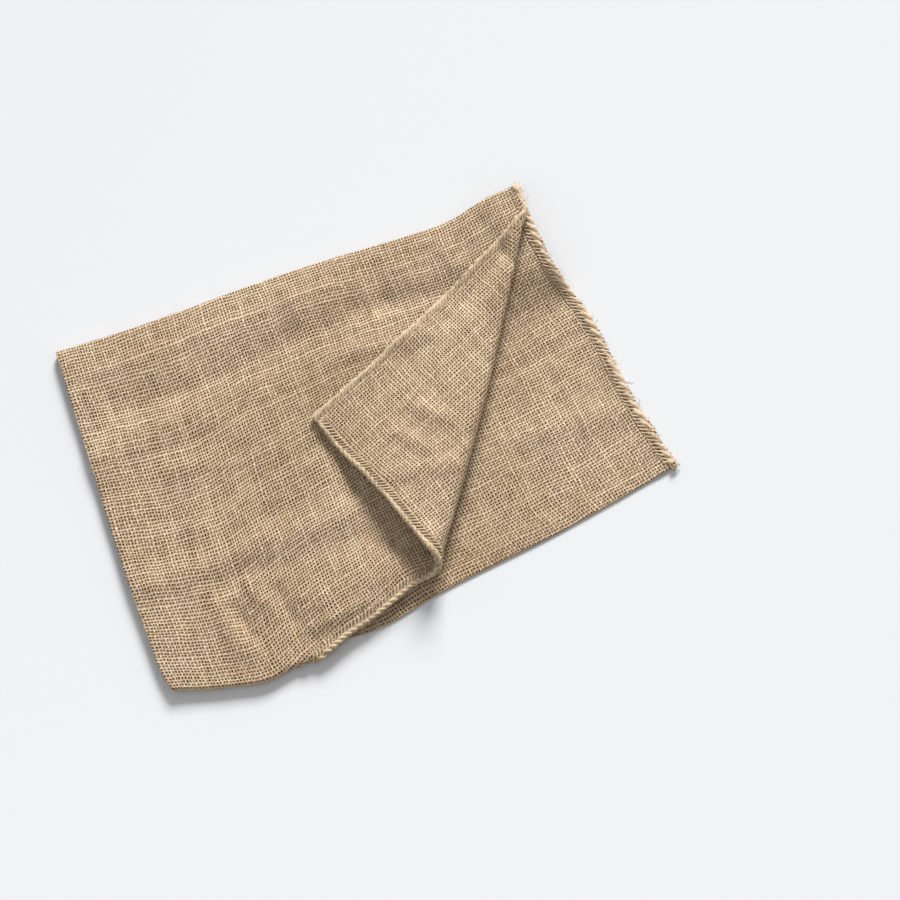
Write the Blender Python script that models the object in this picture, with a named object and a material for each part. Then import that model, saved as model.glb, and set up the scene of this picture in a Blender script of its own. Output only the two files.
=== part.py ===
"""Jute sack, empty, lying folded in half with the corner of its mouth turned back.

The sack is a flat pouch of plain hessian: two walls that meet in a fold along the left side
and along the bottom, are joined by an overlocked side seam on the right, and are open at the
mouth. It is folded once across, along the top side, so the half with the mouth lies over
the half with the bottom. The free corner of the upper half, where seam and mouth meet, is
rolled over to the left and rests on the sack.

Every solid is drawn on the sack's own flat coordinates and then laid on the surface:
    s  runs across the sack, from the left fold (0) to the outer edge of the seam (WIDTH)
    v  runs along it: negative on the upper half, 0 to FOLD_ARC round the fold line,
       and on to the bottom on the lower half
    h  is the distance from the middle plane of the pouch, positive towards its outer wall
"""
import bmesh
import bpy
import numpy as np

# ---- driving sizes, metres ----
WIDTH = 0.376                 # across the sack, left fold to outer edge of the seam
UPPER_LENGTH = 0.270          # fold line to the mouth
LOWER_LENGTH = 0.262          # fold line to the bottom
WALL = 0.0010                 # one wall of cloth
INSIDE_GAP = 0.0004           # between the two walls of the empty sack
BAND = 0.0090                 # width of an overlocked edge
BAND_THICKNESS = 0.0034       # the side seam, both walls and their stitches
MOUTH_THICKNESS = 0.0015      # one overlocked edge of the mouth
SEAM_CUT = 0.0010             # bevel of the side seam's section
MOUTH_CUT = 0.0005            # and of the mouth's edge
CLEARANCE = 0.0004            # between two solids that meet
HALF = WALL + INSIDE_GAP / 2
CENTRE = (0.1980, -0.1486)    # middle of the outline, which becomes the origin

# ---- outline seen from above: corners and how far each side bows out ----
# Both halves share the fold line. along runs 0 to 1, out is in metres.
FOLD_LINE_Y = -0.0040
UPPER_CORNERS = {"fold_left": (0.0010, FOLD_LINE_Y), "fold_right": (0.3760, FOLD_LINE_Y),
                 "end_left": (0.0045, -0.2925), "end_right": (0.3720, -0.2640)}
LOWER_CORNERS = {"fold_left": (0.0010, FOLD_LINE_Y), "fold_right": (0.3760, FOLD_LINE_Y),
                 "end_left": (0.0080, -0.2620), "end_right": (0.4030, -0.2510)}
#                  along    out
FOLD_LINE_BOW = ((0.00, 0.0000), (0.15, -0.0024), (0.50, -0.0024), (0.62, -0.0042),
                 (0.74, -0.0068), (0.84, -0.0072), (0.92, -0.0010), (1.00, 0.0012))
LEFT_BOW = ((0.00, 0.0000), (0.30, 0.0040), (0.78, 0.0085), (0.92, 0.0072), (1.00, 0.0000))
MOUTH_BOW = ((0.00, 0.0000), (0.10, 0.0150), (0.20, 0.0235), (0.26, 0.0140), (0.33, 0.0056),
             (0.42, -0.0010), (0.50, -0.0088), (0.60, -0.0062), (0.80, -0.0090), (1.00, 0.0000))
BOTTOM_BOW = ((0.00, 0.0000), (0.10, 0.0110), (0.20, 0.0190), (0.36, 0.0290), (0.50, 0.0215),
              (0.75, 0.0132), (0.87, 0.0074), (1.00, 0.0000))
UPPER_RIGHT_BOW = ((0.00, 0.0000), (1.00, 0.0000))
LOWER_RIGHT_BOW = ((0.00, 0.0000), (0.16, -0.0050), (0.30, -0.0050), (0.45, -0.0012),
                   (0.80, -0.0030), (1.00, 0.0000))

# ---- heights of the middle plane above the surface ----
LOWER_REST = HALF             # the lower half lies flat
UPPER_REST = 0.0060           # the upper half, a little above it
FOLD_RISE = 0.0008            # extra height close to the springy fold line
FOLD_REACH = 0.018
SEAM_LIFT = 0.0006            # the thicker seam carries the cloth beside it
SEAM_REACH = 0.030

# ---- the turned corner: a roll that widens from the seam to the mouth ----
CREASE_START = (0.3668, -0.0317)
CREASE_END = (0.2058, -0.2668)
CREASE_BOW = 0.0040
ROLL_START = 0.0032           # radius of the roll at the seam
ROLL_END = 0.0095             # and at the mouth
FLAP_SPREAD = 0.575           # how fast the turned corner widens along the crease
FLAP_REST = 0.0040            # its middle plane above the one that it lies on
LEAST_SPAN = 0.005            # the turned cloth sinks over at least this length

# ---- the mouth's edge is turned under beside the left fold ----
TUCK_LENGTH = 0.0160
TUCK_RADIUS = 0.0021
TUCK_FULL = 0.074             # turned fully under up to here, across the sack,
TUCK_NONE = 0.122             # and flat again from here on

# ---- soft ridges and hollows, as seen from above ----
#              x0      y0      x1      y1    width   height
UPPER_FOLDS = (
    (0.030, -0.030, 0.215, -0.030, 0.013, 0.0028),
    (0.030, -0.063, 0.150, -0.067, 0.011, -0.0012),
    (0.010, -0.092, 0.090, -0.090, 0.013, 0.0020),
    (0.165, -0.054, 0.300, -0.056, 0.010, -0.0010),
    (0.100, -0.150, 0.130, -0.185, 0.022, -0.0010),
    (0.010, -0.200, 0.160, -0.198, 0.011, 0.0030),
    (0.060, -0.218, 0.170, -0.220, 0.009, -0.0010),
    (0.125, -0.256, 0.195, -0.248, 0.019, 0.0036),
    (0.350, -0.028, 0.368, -0.020, 0.016, 0.0014),
)
LOWER_FOLDS = (
    (0.350, -0.112, 0.375, -0.104, 0.013, 0.0042),
    (0.300, -0.190, 0.372, -0.196, 0.010, 0.0016),
)
FOLD_FADE = 0.016             # ridges die out this far from the fold line

# ---- how finely each stretch is divided ----
LEFT_COLUMNS = 3
TUCK_COLUMNS = 8
BODY_COLUMNS = 7
CREASE_COLUMN = LEFT_COLUMNS + TUCK_COLUMNS + BODY_COLUMNS
ROLL_COLUMNS = 6
FLAP_COLUMNS = 3
UPPER_ROWS = 11
TUCK_ROWS = 3
TURN_ROWS = 9                 # close rows where the seam itself passes round the roll
ARC_ROWS = 4
LOWER_ROWS = 7
TURN_BEGIN = -0.018
TURN_FINISH = -0.052
SEAM_DIVISIONS = 2            # of the long sides of a strip's section
MOUTH_DIVISIONS = 5
HAIRPIN_STEPS = 6
NORMAL_STEP = 0.0002
EDGE_ROUND = 0.0009           # how far a folded edge bulges past the walls
CAVITY_INSET = 0.0015
LEAST_TURN = 0.0036           # a row that passes the crease by less than this ends at it
ROLL_ARC = 4.0                # the roll's stretch of a row, in radii
ROLL_SHARE = 0.7              # and at most this much of what lies past the crease
HALVINGS = 30

CLOTH_COLOUR = (0.46, 0.33, 0.22)
BAND_COLOUR = (0.56, 0.42, 0.27)


def through(rows, x):
    """Smooth curve through a table's rows: a cubic between rows, sloped as its neighbours."""
    xs, ys = np.array(rows, dtype=float).T
    slopes = np.gradient(ys, xs)
    i = np.clip(np.searchsorted(xs, x, side="right") - 1, 0, len(xs) - 2)
    span = xs[i + 1] - xs[i]
    t = (x - xs[i]) / span
    return (ys[i] * (1 + 2 * t) * (1 - t) ** 2 + slopes[i] * span * t * (1 - t) ** 2
            + ys[i + 1] * t * t * (3 - 2 * t) + slopes[i + 1] * span * t * t * (t - 1))


def plan(corners, right_bow, end_bow, s, t):
    """Place on the ground of a half's point: four corners blended, plus the bow of each side."""
    fold_left, fold_right, end_left, end_right = (
        np.array(corners[name]) for name in ("fold_left", "fold_right", "end_left", "end_right"))
    s = s[..., None]
    t = t[..., None]
    place = ((1 - s) * (1 - t) * fold_left + s * (1 - t) * fold_right
             + (1 - s) * t * end_left + s * t * end_right)
    s = s[..., 0]
    t = t[..., 0]
    x = place[..., 0] - (1 - s) * through(LEFT_BOW, t) + s * through(right_bow, t)
    y = place[..., 1] + (1 - t) * through(FOLD_LINE_BOW, s) - t * through(end_bow, s)
    return x, y


def soft_folds(table, x, y, from_fold):
    """Height of the ridges: a bell across each table line that fades beyond its ends."""
    height = np.zeros_like(x)
    for x0, y0, x1, y1, width, rise in table:
        dx, dy = x1 - x0, y1 - y0
        along = np.clip(((x - x0) * dx + (y - y0) * dy) / (dx * dx + dy * dy), 0, 1)
        away = np.hypot(x - x0 - along * dx, y - y0 - along * dy)
        height += rise * np.maximum(np.exp(-(away / width) ** 2) - 0.02, 0)
    return height * np.clip(from_fold / FOLD_FADE, 0, 1)


def below_fold_line(x, y):
    """Distance on the ground from the fold line."""
    return np.maximum(FOLD_LINE_Y + through(FOLD_LINE_BOW, np.clip(x / WIDTH, 0, 1)) - y, 0)


def upper_height(x, y):
    """Middle plane of the upper half over a place on the ground."""
    away = below_fold_line(x, y)
    rise = FOLD_RISE * np.exp(-(away / FOLD_REACH) ** 2)
    return UPPER_REST + rise + soft_folds(UPPER_FOLDS, x, y, away)


def lower_height(s, x, y):
    """Middle plane of the lower half, flat but for its ridges and the edge along the seam."""
    ramp = np.clip((s - (WIDTH - SEAM_REACH)) / (SEAM_REACH - BAND), 0, 1)
    lift = SEAM_LIFT * ramp * ramp * (3 - 2 * ramp)
    return LOWER_REST + lift + soft_folds(LOWER_FOLDS, x, y, below_fold_line(x, y))


def crease_frame(x, y):
    """Direction across the crease, place along it, distance past it and radius of the roll."""
    start, end = np.array(CREASE_START), np.array(CREASE_END)
    length = np.hypot(*(end - start))
    run = (end - start) / length
    side = np.array([-run[1], run[0]])
    along = (x - start[0]) * run[0] + (y - start[1]) * run[1]
    share = np.clip(along / length, 0, 1)
    radius = ROLL_START + (ROLL_END - ROLL_START) * share
    off = (x - start[0]) * side[0] + (y - start[1]) * side[1]
    return side, along, off + radius - CREASE_BOW * np.sin(np.pi * share), radius


def tucked(across, t):
    """Winds the end of the upper half's length t round a small roll, to run back beneath."""
    fade = np.clip((across * WIDTH - TUCK_FULL) / (TUCK_NONE - TUCK_FULL), 0, 1)
    tuck = TUCK_LENGTH * (1 - fade * fade * (3 - 2 * fade))
    past = t * UPPER_LENGTH - (UPPER_LENGTH - tuck)
    turn = np.clip(past / TUCK_RADIUS, 0, np.pi)
    back = np.maximum(past - np.pi * TUCK_RADIUS, 0)
    reach = np.where(past > 0, TUCK_RADIUS * np.sin(turn) - back, past)
    return (UPPER_LENGTH - tuck + reach) / UPPER_LENGTH, TUCK_RADIUS * (1 - np.cos(turn))


def turned_corner(x, y):
    """Rolls the ground right of the crease over to the left.

    Distance from the crease first winds round a cylinder of the roll's radius. What is left
    then runs back to the left, and sinks from the roll's top to rest along the seam's edge.
    """
    side, along, off, radius = crease_frame(x, y)
    turn = np.clip(off / radius, 0, np.pi)
    rest = np.maximum(off - np.pi * radius, 0)
    span = np.maximum(FLAP_SPREAD * np.maximum(along, 0) - np.pi * radius, LEAST_SPAN)
    sink = 1 - np.clip(rest / span, 0, 1) ** 1.5
    reach = np.where(off > 0, radius * np.sin(turn) - rest, off)
    top = np.minimum(FLAP_REST, 2 * radius)
    rise = np.where(rest > 0, top + (2 * radius - top) * sink, radius * (1 - np.cos(turn)))
    shift = reach - off
    return x + shift * side[0], y + shift * side[1], rise


def middle(s, v):
    """Point of the pouch's middle plane for flat coordinates s, v."""
    s, v = np.broadcast_arrays(np.asarray(s, float), np.asarray(v, float))
    across = s / WIDTH
    zero = np.zeros_like(across)

    length, drop = tucked(across, np.clip(-v / UPPER_LENGTH, 0, None))
    x_up, y_up = plan(UPPER_CORNERS, UPPER_RIGHT_BOW, MOUTH_BOW, across, length)
    x_up, y_up, rise = turned_corner(x_up, y_up)
    z_up = upper_height(x_up, y_up) + rise - drop

    x_low, y_low = plan(LOWER_CORNERS, LOWER_RIGHT_BOW, BOTTOM_BOW, across,
                        np.clip((v - FOLD_ARC) / LOWER_LENGTH, 0, None))
    z_low = lower_height(s, x_low, y_low)

    x_arc, y_arc = plan(LOWER_CORNERS, LOWER_RIGHT_BOW, BOTTOM_BOW, across, zero)
    z_foot = lower_height(s, x_arc, y_arc)
    radius = (UPPER_REST + FOLD_RISE - z_foot) / 2
    angle = np.pi * np.clip(v / FOLD_ARC, 0, 1)
    y_arc = y_arc + radius * np.sin(angle)
    z_arc = z_foot + radius * (1 + np.cos(angle))

    upper, arc = v < 0, (v >= 0) & (v <= FOLD_ARC)
    return np.stack([np.where(upper, x_up, np.where(arc, x_arc, x_low)),
                     np.where(upper, y_up, np.where(arc, y_arc, y_low)),
                     np.where(upper, z_up, np.where(arc, z_arc, z_low))], axis=-1)


def laid(s, v, h):
    """Point of the folded sack for flat coordinates s, v and distance h from the middle plane."""
    step = NORMAL_STEP
    across = middle(s + step, v) - middle(s - step, v)
    along = middle(s, v + step) - middle(s, v - step)
    normal = np.cross(across, along)
    normal /= np.linalg.norm(normal, axis=-1, keepdims=True)
    point = middle(s, v) + normal * np.asarray(h, float)[..., None]
    return point - np.array([CENTRE[0], CENTRE[1], 0])


FOLD_ARC = np.pi * (UPPER_REST + FOLD_RISE - LOWER_REST) / 2


def cloth_rows():
    """Values of v from the mouth's end of the cloth to the bottom."""
    mouth_end = -(UPPER_LENGTH - BAND - CLEARANCE)
    tuck_end = mouth_end + np.pi * TUCK_RADIUS
    upper = np.concatenate([np.linspace(mouth_end, tuck_end, TUCK_ROWS + 1)[:-1],
                            np.linspace(tuck_end, TURN_FINISH, UPPER_ROWS),
                            np.linspace(TURN_FINISH, TURN_BEGIN, TURN_ROWS + 1)[1:],
                            [TURN_BEGIN / 2, 0]])
    arc = np.linspace(0, FOLD_ARC, ARC_ROWS + 1)[1:]
    lower = FOLD_ARC + LOWER_LENGTH * np.linspace(0, 1, LOWER_ROWS + 1)[1:]
    return np.concatenate([upper, arc, lower])


def crease_at(v):
    """Where a row of the upper half starts round the roll, found by halving, and its radius."""
    low, high = 0.0, WIDTH
    radius = ROLL_START
    if v > 0:
        return WIDTH, radius
    for _ in range(HALVINGS):
        s = (low + high) / 2
        x, y = plan(UPPER_CORNERS, UPPER_RIGHT_BOW, MOUTH_BOW, np.array(s / WIDTH),
                    np.array(-v / UPPER_LENGTH))
        _, _, off, radius = crease_frame(x, y)
        low, high = (s, high) if off < 0 else (low, s)
    return low, float(radius)


def cloth_columns(v):
    """Values of s in one row, with a close group where the row passes round the roll."""
    last = WIDTH - BAND - CLEARANCE
    crease, radius = crease_at(v)
    if last - crease < LEAST_TURN:
        crease = last
    roll = min(ROLL_ARC * radius, ROLL_SHARE * (last - crease))
    return np.concatenate([np.linspace(0, TUCK_FULL, LEFT_COLUMNS + 1),
                           np.linspace(TUCK_FULL, TUCK_NONE, TUCK_COLUMNS + 1)[1:],
                           np.linspace(TUCK_NONE, crease, BODY_COLUMNS + 1)[1:],
                           crease + roll * np.linspace(0, 1, ROLL_COLUMNS + 1)[1:],
                           np.linspace(crease + roll, last, FLAP_COLUMNS + 1)[1:]])


def new_object(name, points, faces, colour):
    """Mesh object with outward faces, triangulated so that it stays exact."""
    mesh = bpy.data.meshes.new(name)
    mesh.from_pydata([tuple(p) for p in points], [], faces)
    shape = bmesh.new()
    shape.from_mesh(mesh)
    loose = [vertex for vertex in shape.verts if not vertex.link_faces]
    bmesh.ops.delete(shape, geom=loose, context="VERTS")
    bmesh.ops.recalc_face_normals(shape, faces=shape.faces)
    bmesh.ops.triangulate(shape, faces=shape.faces)
    shape.to_mesh(mesh)
    shape.free()
    material = bpy.data.materials.new(name)
    material.use_nodes = True
    surface = material.node_tree.nodes["Principled BSDF"]
    surface.inputs["Base Color"].default_value = (*colour, 1)
    surface.inputs["Roughness"].default_value = 0.9
    surface.inputs["Metallic"].default_value = 0.0
    mesh.materials.append(material)
    item = bpy.data.objects.new(name, mesh)
    bpy.context.collection.objects.link(item)
    return item


def sack_cloth():
    """The pouch: an outer skin, the thin hollow between the walls, and the rim of the mouth."""
    v_rows = cloth_rows()
    s_grid = np.array([cloth_columns(v) for v in v_rows])
    v_grid = np.repeat(v_rows[:, None], s_grid.shape[1], axis=1)
    count_rows, count_columns = s_grid.shape
    s_in = np.clip(s_grid, CAVITY_INSET, s_grid.max() - CAVITY_INSET)
    v_in = np.minimum(v_grid, v_rows[-1] - CAVITY_INSET)
    skins = [laid(s_grid, v_grid, np.full_like(s_grid, HALF)),
             laid(s_in, v_in, np.full_like(s_grid, INSIDE_GAP / 2)),
             laid(s_in, v_in, np.full_like(s_grid, -INSIDE_GAP / 2)),
             laid(s_grid, v_grid, np.full_like(s_grid, -HALF))]
    points = [skin.reshape(-1, 3) for skin in skins]
    cells = count_rows * count_columns
    outside, ceiling, floor, inside = (k * cells for k in range(4))

    def number(i, j):
        """A row that ends at the crease keeps only its last column's point."""
        if j > CREASE_COLUMN and s_grid[i, CREASE_COLUMN] >= s_grid[i, -1]:
            j = CREASE_COLUMN
        return i * count_columns + j

    faces = []

    def add(*corners):
        kept = [c for k, c in enumerate(corners) if c != corners[k - 1]]
        if len(set(kept)) > 2:
            faces.append(kept)

    for i in range(count_rows - 1):
        for j in range(count_columns - 1):
            quad = (number(i, j), number(i, j + 1), number(i + 1, j + 1), number(i + 1, j))
            for base in (outside, ceiling, floor, inside):
                add(*(base + q for q in quad))

    last_row, last_column = count_rows - 1, count_columns - 1
    border = [(i, 0) for i in range(count_rows)]
    border += [(last_row, j) for j in range(1, CREASE_COLUMN + 1)]
    border += [(i, last_column) for i in range(last_row - 1, -1, -1)]
    s_rim = np.array([s_grid[i, j] for i, j in border])
    v_rim = np.array([v_grid[i, j] for i, j in border])
    s_rim = np.where(s_rim <= 0, -EDGE_ROUND, s_rim)
    v_rim = np.where(v_rim >= v_rows[-1], v_rim + EDGE_ROUND, v_rim)
    points.append(laid(s_rim, v_rim, np.zeros_like(s_rim)))
    rim = 4 * cells
    for k in range(len(border) - 1):
        one, two = number(*border[k]), number(*border[k + 1])
        if one == two:
            continue
        add(outside + one, outside + two, rim + k + 1, rim + k)
        add(rim + k, rim + k + 1, inside + two, inside + one)
        add(ceiling + one, ceiling + two, floor + two, floor + one)

    for j in range(last_column):
        one, two = number(0, j), number(0, j + 1)
        add(outside + one, outside + two, ceiling + two, ceiling + one)
        add(floor + one, floor + two, inside + two, inside + one)
    for end, edge in ((number(0, 0), rim), (number(0, last_column), rim + len(border) - 1)):
        add(outside + end, edge, inside + end, floor + end, ceiling + end)
    return new_object("sack_cloth", np.concatenate(points), faces, CLOTH_COLOUR)


def strip_section(half_width, half_height, cut, divisions):
    """Round a strip's section, a rectangle with its corners cut off and its long sides divided."""
    flat = np.linspace(half_width - cut, cut - half_width, divisions + 1)
    top = [(w, half_height) for w in flat]
    bottom = [(w, -half_height) for w in flat[::-1]]
    left = [(-half_width, half_height - cut), (-half_width, cut - half_height)]
    right = [(half_width, cut - half_height), (half_width, half_height - cut)]
    return np.array(top + left + bottom + right)


def strip(name, rings):
    """Closed strip through a row of rings, capped at both ends."""
    count = len(rings)
    corners = len(rings[0])
    faces = []
    for k in range(count - 1):
        for c in range(corners):
            d = (c + 1) % corners
            faces.append((k * corners + c, k * corners + d,
                          (k + 1) * corners + d, (k + 1) * corners + c))
    faces.append(tuple(range(corners)))
    faces.append(tuple((count - 1) * corners + c for c in range(corners)))
    return new_object(name, np.concatenate(rings), faces, BAND_COLOUR)


def side_seam():
    """The overlocked seam: one strip from the mouth's corner round the fold to the bottom."""
    section = strip_section(BAND / 2, BAND_THICKNESS / 2, SEAM_CUT, SEAM_DIVISIONS)
    rings = [laid(WIDTH - BAND / 2 + section[:, 0], np.full(len(section), v), section[:, 1])
             for v in np.concatenate([[-UPPER_LENGTH], cloth_rows()])]
    return strip("side_seam", rings)


def mouth_edge():
    """The mouth's overlocked edge: out along one wall, round the left fold, back on the other."""
    section = strip_section(BAND / 2, MOUTH_THICKNESS / 2, MOUTH_CUT, MOUTH_DIVISIONS)
    level = INSIDE_GAP / 2 + MOUTH_THICKNESS / 2
    turn_at = level + MOUTH_THICKNESS / 2 + CLEARANCE
    run = cloth_columns(cloth_rows()[0])[:0:-1]
    half_turn = np.linspace(0, np.pi, HAIRPIN_STEPS)
    path = [(s, level, 0.0) for s in run]
    path += [(turn_at - level * np.sin(a), level * np.cos(a), a) for a in half_turn]
    path += [(s, -level, np.pi) for s in run[::-1]]
    v = -(UPPER_LENGTH - BAND / 2) + section[:, 0]
    rings = [laid(s - section[:, 1] * np.sin(a), v, h + section[:, 1] * np.cos(a))
             for s, h, a in path]
    return strip("mouth_edge", rings)


def build():
    for item in list(bpy.data.objects):
        bpy.data.objects.remove(item, do_unlink=True)
    sack_cloth()
    side_seam()
    mouth_edge()


build()
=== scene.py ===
"""Empty jute sack, folded in half with the seam corner of its mouth turned back, on a pale floor."""

import bpy
import numpy as np
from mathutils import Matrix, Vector


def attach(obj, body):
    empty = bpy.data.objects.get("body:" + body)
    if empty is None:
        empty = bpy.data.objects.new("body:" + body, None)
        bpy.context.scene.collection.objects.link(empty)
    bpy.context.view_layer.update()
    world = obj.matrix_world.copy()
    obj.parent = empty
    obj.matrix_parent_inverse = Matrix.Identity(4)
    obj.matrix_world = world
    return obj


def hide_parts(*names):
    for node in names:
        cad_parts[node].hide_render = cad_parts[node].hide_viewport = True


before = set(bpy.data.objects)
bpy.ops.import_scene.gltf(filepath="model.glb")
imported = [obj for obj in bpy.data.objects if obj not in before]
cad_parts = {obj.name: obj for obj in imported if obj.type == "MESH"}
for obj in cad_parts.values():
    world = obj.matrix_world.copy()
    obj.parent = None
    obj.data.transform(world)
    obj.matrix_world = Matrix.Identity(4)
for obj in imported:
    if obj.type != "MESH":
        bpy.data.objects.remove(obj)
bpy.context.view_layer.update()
CHANCE = np.random.default_rng(20)

# ---- sizes of the sack, metres, as the CAD model has them ----
WIDTH = 0.376                 # across the sack, left fold to outer edge of the seam
UPPER_LENGTH = 0.270          # fold line to the mouth
LOWER_LENGTH = 0.262          # fold line to the bottom
WALL_LEVEL = 0.0007           # each wall from the middle plane of the empty sack
HALF = 0.0012                 # outer face of a wall from that plane
BAND = 0.0090                 # width of an overlocked edge
CENTRE = (0.1980, -0.1486)    # middle of the outline, which is the origin

# ---- outline seen from above: corners and how far each side bows out ----
FOLD_LINE_Y = -0.0040
UPPER_CORNERS = {"fold_left": (0.0010, FOLD_LINE_Y), "fold_right": (0.3760, FOLD_LINE_Y),
                 "end_left": (0.0045, -0.2925), "end_right": (0.3720, -0.2640)}
LOWER_CORNERS = {"fold_left": (0.0010, FOLD_LINE_Y), "fold_right": (0.3760, FOLD_LINE_Y),
                 "end_left": (0.0080, -0.2620), "end_right": (0.4030, -0.2510)}
#                  along    out
FOLD_LINE_BOW = ((0.00, 0.0000), (0.15, -0.0024), (0.50, -0.0024), (0.62, -0.0042),
                 (0.74, -0.0068), (0.84, -0.0072), (0.92, -0.0010), (1.00, 0.0012))
LEFT_BOW = ((0.00, 0.0000), (0.30, 0.0040), (0.78, 0.0085), (0.92, 0.0072), (1.00, 0.0000))
MOUTH_BOW = ((0.00, 0.0000), (0.10, 0.0150), (0.20, 0.0235), (0.26, 0.0140), (0.33, 0.0056),
             (0.42, -0.0010), (0.50, -0.0088), (0.60, -0.0062), (0.80, -0.0045), (0.92, -0.0006),
             (1.00, 0.0000))
BOTTOM_BOW = ((0.00, 0.0000), (0.10, 0.0110), (0.20, 0.0190), (0.36, 0.0290), (0.50, 0.0215),
              (0.75, 0.0132), (0.87, 0.0074), (1.00, 0.0000))
UPPER_RIGHT_BOW = ((0.00, 0.0000), (1.00, 0.0000))
LOWER_RIGHT_BOW = ((0.00, 0.0000), (0.16, -0.0050), (0.30, -0.0050), (0.45, -0.0012),
                   (0.80, -0.0030), (1.00, 0.0000))

# ---- heights of the middle plane above the surface ----
LOWER_REST = HALF             # the lower half lies flat
UPPER_REST = 0.0060           # the upper half, a little above it
FOLD_RISE = 0.0008            # extra height close to the springy fold line
FOLD_REACH = 0.018
SEAM_LIFT = 0.0006            # the thicker seam carries the cloth beside it
SEAM_REACH = 0.030

# ---- the turned corner: a roll that widens from the seam to the mouth ----
CREASE_START = (0.3668, -0.0317)
CREASE_END = (0.2058, -0.2668)
CREASE_BOW = 0.0040
ROLL_START = 0.0032           # radius of the roll at the seam
ROLL_END = 0.0095             # and at the mouth
FLAP_SPREAD = 0.575           # how fast the turned corner widens along the crease
FLAP_REST = 0.0040            # its middle plane above the one that it lies on
LEAST_SPAN = 0.005            # the turned cloth sinks over at least this length

# ---- the mouth's edge is turned under beside the left fold ----
TUCK_LENGTH = 0.0160
TUCK_RADIUS = 0.0021
TUCK_FULL = 0.074             # turned fully under up to here, across the sack,
TUCK_NONE = 0.122             # and flat again from here on

# ---- soft ridges and hollows, as seen from above ----
FOLD_FADE = 0.016             # they die out this far from the fold line
#              x0      y0      x1      y1    width   height
UPPER_FOLDS = (
    (0.030, -0.030, 0.215, -0.030, 0.013, 0.0016),
    (0.030, -0.063, 0.150, -0.067, 0.011, -0.0016),
    (0.010, -0.092, 0.090, -0.090, 0.013, 0.0017),
    (0.165, -0.054, 0.300, -0.056, 0.010, -0.0010),
    (0.100, -0.150, 0.130, -0.185, 0.022, -0.0010),
    (0.010, -0.200, 0.160, -0.198, 0.011, 0.0019),
    (0.060, -0.218, 0.170, -0.220, 0.009, -0.0010),
    (0.125, -0.256, 0.195, -0.248, 0.019, 0.0028),
    (0.350, -0.028, 0.368, -0.020, 0.016, 0.0014),
)
LOWER_FOLDS = (
    (0.350, -0.122, 0.375, -0.116, 0.013, 0.0006),
    (0.300, -0.190, 0.372, -0.196, 0.010, 0.0016),
)

# ---- the corner where fold line and seam meet stands up from the surface ----
LIFT = 0.0130                 # height that it reaches
LIFT_X = 0.374                # middle of the rise, across the sack
LIFT_FOOT = -0.104            # the rise starts here, at its middle,
LIFT_LEAN = 0.24              # further up the more it is to the right,
LIFT_RUN = 0.046              # and climbs over this length
LIFT_WIDE = 0.046             # width of the bell across it
LIFT_HEADING = (-0.118, -0.303, 1.0)   # the corner leans forward and to the left as it rises

# ---- fuller folds and smaller creases than the CAD model has ----
DEEPER = 1.1                  # the upper folds, times this
RIPPLE = 0.0009               # the unevenness of the upper half
RIPPLE_COUNT = 9              # sine waves in it,
RIPPLE_SHORTEST = 0.030       # the shortest wave's length,
RIPPLE_LONGER = 0.009         # and what each next one adds
UPPER_CREASES = (
    (0.060, -0.236, 0.066, -0.262, 0.0050, -0.0024),
    (0.074, -0.222, 0.080, -0.240, 0.0045, 0.0022),
    (0.092, -0.234, 0.098, -0.262, 0.0050, -0.0020),
    (0.050, -0.234, 0.054, -0.268, 0.0060, 0.0020),
    (0.110, -0.272, 0.150, -0.268, 0.0060, 0.0022),
    (0.055, -0.120, 0.085, -0.128, 0.0100, 0.0016),
    (0.150, -0.058, 0.200, -0.064, 0.0110, -0.0016),
    (0.225, -0.050, 0.290, -0.066, 0.0110, -0.0022),
    (0.205, -0.082, 0.270, -0.092, 0.0080, 0.0020),
    (0.180, -0.020, 0.186, -0.058, 0.0070, 0.0014),
    (0.240, -0.018, 0.246, -0.050, 0.0080, -0.0014),
    (0.300, -0.020, 0.308, -0.046, 0.0080, 0.0020),
    (0.338, -0.018, 0.346, -0.060, 0.0060, -0.0022),
    (0.235, -0.140, 0.255, -0.162, 0.0060, 0.0020),
    (0.215, -0.158, 0.235, -0.180, 0.0060, 0.0020),
    (0.200, -0.188, 0.245, -0.196, 0.0070, 0.0022),
    (0.170, -0.150, 0.186, -0.235, 0.0150, -0.0034),
)
LOWER_CREASES = (
    (0.325, -0.150, 0.322, -0.250, 0.0060, 0.0010),
    (0.352, -0.150, 0.350, -0.250, 0.0060, 0.0010),
    (0.250, -0.262, 0.300, -0.256, 0.0070, 0.0010),
    (0.384, -0.066, 0.388, -0.092, 0.0090, 0.0030),
)
NORMAL_STEP = 0.0002
BELL_FOOT = 0.02              # what is cut off a bell's foot, so that it ends
HALVINGS = 30

# ---- how finely the cloth is divided ----
EDGE_INSET = 0.0012           # the cloth ends this far inside the stitched edges
TUCK_END = 0.0165             # close rows from the mouth to here, for the turned-under edge
SEAM_TURN_FIRST = -0.062      # and from here
SEAM_TURN_LAST = -0.014       # to here, where the seam itself passes round the roll
TUCK_ROWS = 18
UPPER_ROWS = 79
SEAM_TURN_ROWS = 29
CORNER_ROWS = 6
ARC_ROWS = 10
LOWER_ROWS = 97
HEM_ROWS = 3                  # round the bottom
BODY_COLUMNS = 87             # left fold to crease
ROLL_COLUMNS = 24             # round the roll
FLAP_COLUMNS = 48             # and on to the seam
LEFT_COLUMNS = 5              # round the left fold, between the two walls
ROLL_ARC = 4.0                # the roll's stretch of a row, in radii,
ROLL_SHARE = 0.6              # and at most this much of what lies past the crease
LEAST_FLAP = 0.030            # the body's columns end at least this far from the seam

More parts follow.
